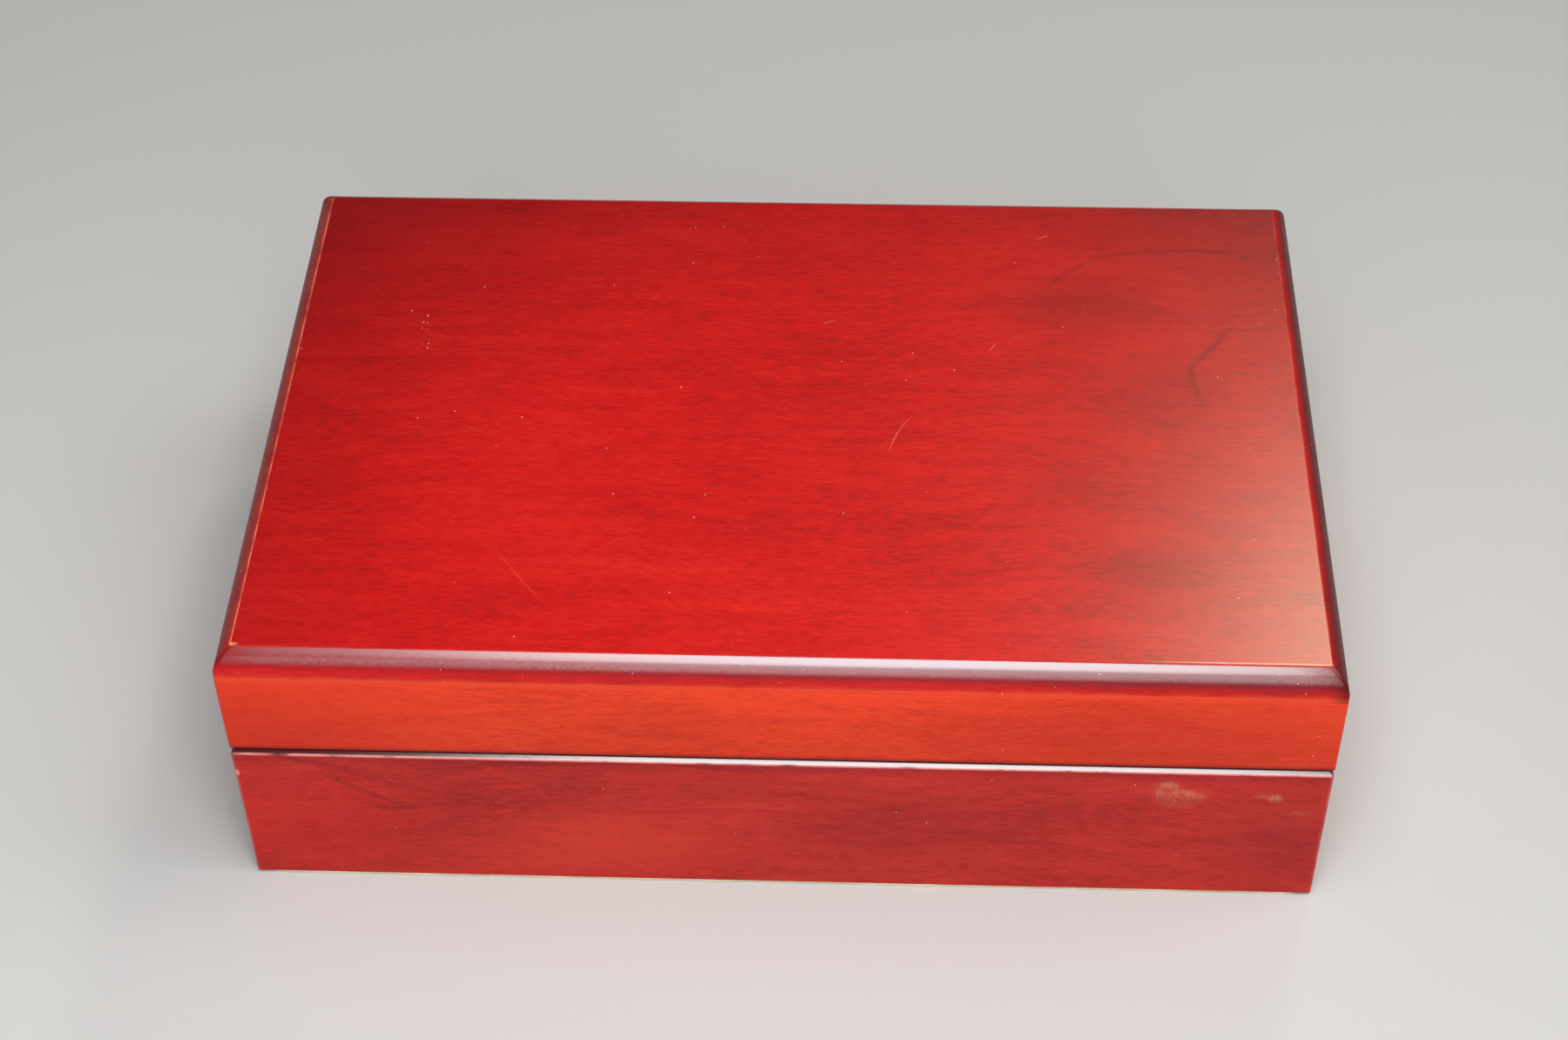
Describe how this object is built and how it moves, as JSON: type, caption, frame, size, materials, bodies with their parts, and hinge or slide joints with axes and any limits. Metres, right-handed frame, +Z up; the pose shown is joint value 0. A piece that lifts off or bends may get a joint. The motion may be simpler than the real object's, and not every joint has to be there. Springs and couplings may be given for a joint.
{
  "type": "humidor",
  "caption": "Cherry-finished wooden desktop humidor with a moulded hinged lid, cedar lining, sliding divider, and a humidifier and hygrometer under the lid.",
  "frame": {"origin": "centre of the felt underside, on the surface that the box stands on", "axes": "+X to the right along the box, +Y from the front to the hinged back, +Z up"},
  "size_m": [0.26, 0.1751, 0.08],
  "materials": {
    "cherry": "satin cherry lacquer",
    "cherry_lid": "satin cherry lacquer",
    "cedar": "raw, sanded",
    "raw_board": "raw board",
    "felt": "beige felt",
    "brass": "polished",
    "steel": "bright",
    "black_plastic": "fine moulded texture",
    "foam": "open-cell foam",
    "dial": "matt off-white print",
    "copper": "bare strip",
    "lens": "clear",
    "pointer": "black"
  },
  "bodies": {
    "base": {"base_front_wall": "cherry", "base_back_wall": "cherry", "base_left_wall": "cherry", "base_right_wall": "cherry", "base_bottom_panel": "raw_board", "base_felt": "felt", "base_liner_front": "cedar", "base_liner_back": "cedar", "base_liner_left": "cedar", "base_liner_right": "cedar", "base_liner_floor": "cedar", "hinge_base_leaf_left": "brass", "hinge_base_leaf_right": "brass", "hinge_pin_left": "steel", "hinge_pin_right": "steel", "hinge_base_screws": "brass"},
    "lid": {"lid_top_panel": "cherry_lid", "lid_front_rail": "cherry_lid", "lid_back_rail": "cherry_lid", "lid_left_rail": "cherry_lid", "lid_right_rail": "cherry_lid", "lid_liner_ceiling": "cedar", "lid_liner_front": "cedar", "lid_liner_back": "cedar", "lid_liner_left": "cedar", "lid_liner_right": "cedar", "hinge_lid_leaf_left": "brass", "hinge_lid_leaf_right": "brass", "hinge_lid_screws": "brass", "hygrometer_case": "brass", "hygrometer_dial": "dial", "hygrometer_coil": "copper", "hygrometer_lens": "lens", "hygrometer_bezel": "brass", "humidifier_keeper": "steel"},
    "pointer": {"hygrometer_pointer": "pointer"},
    "humidifier": {"humidifier_case": "black_plastic", "humidifier_foam": "foam", "humidifier_grille": "black_plastic", "humidifier_magnets": "steel"},
    "divider": {"divider": "cedar"}
  },
  "joints": [
    {"name": "lid_hinge", "type": "hinge", "parent": "base", "child": "lid", "pos_m": [0, 0.0872, 0.047], "axis": [-1, 0, 0], "range_deg": [0, 100]},
    {"name": "divider_slide", "type": "slide", "parent": "base", "child": "divider", "axis": [1, 0, 0], "range_m": [-0.151, 0.077]},
    {"name": "humidifier_pull", "type": "slide", "parent": "lid", "child": "humidifier", "axis": [0, 0, -1], "range_m": [0, 0.008]},
    {"name": "pointer_turn", "type": "hinge", "parent": "lid", "child": "pointer", "pos_m": [0.067, 0, 0.068], "axis": [0, 0, 1], "range_deg": [-185, 85], "stiffness_Nm_per_rad": 0.00002}
  ]
}
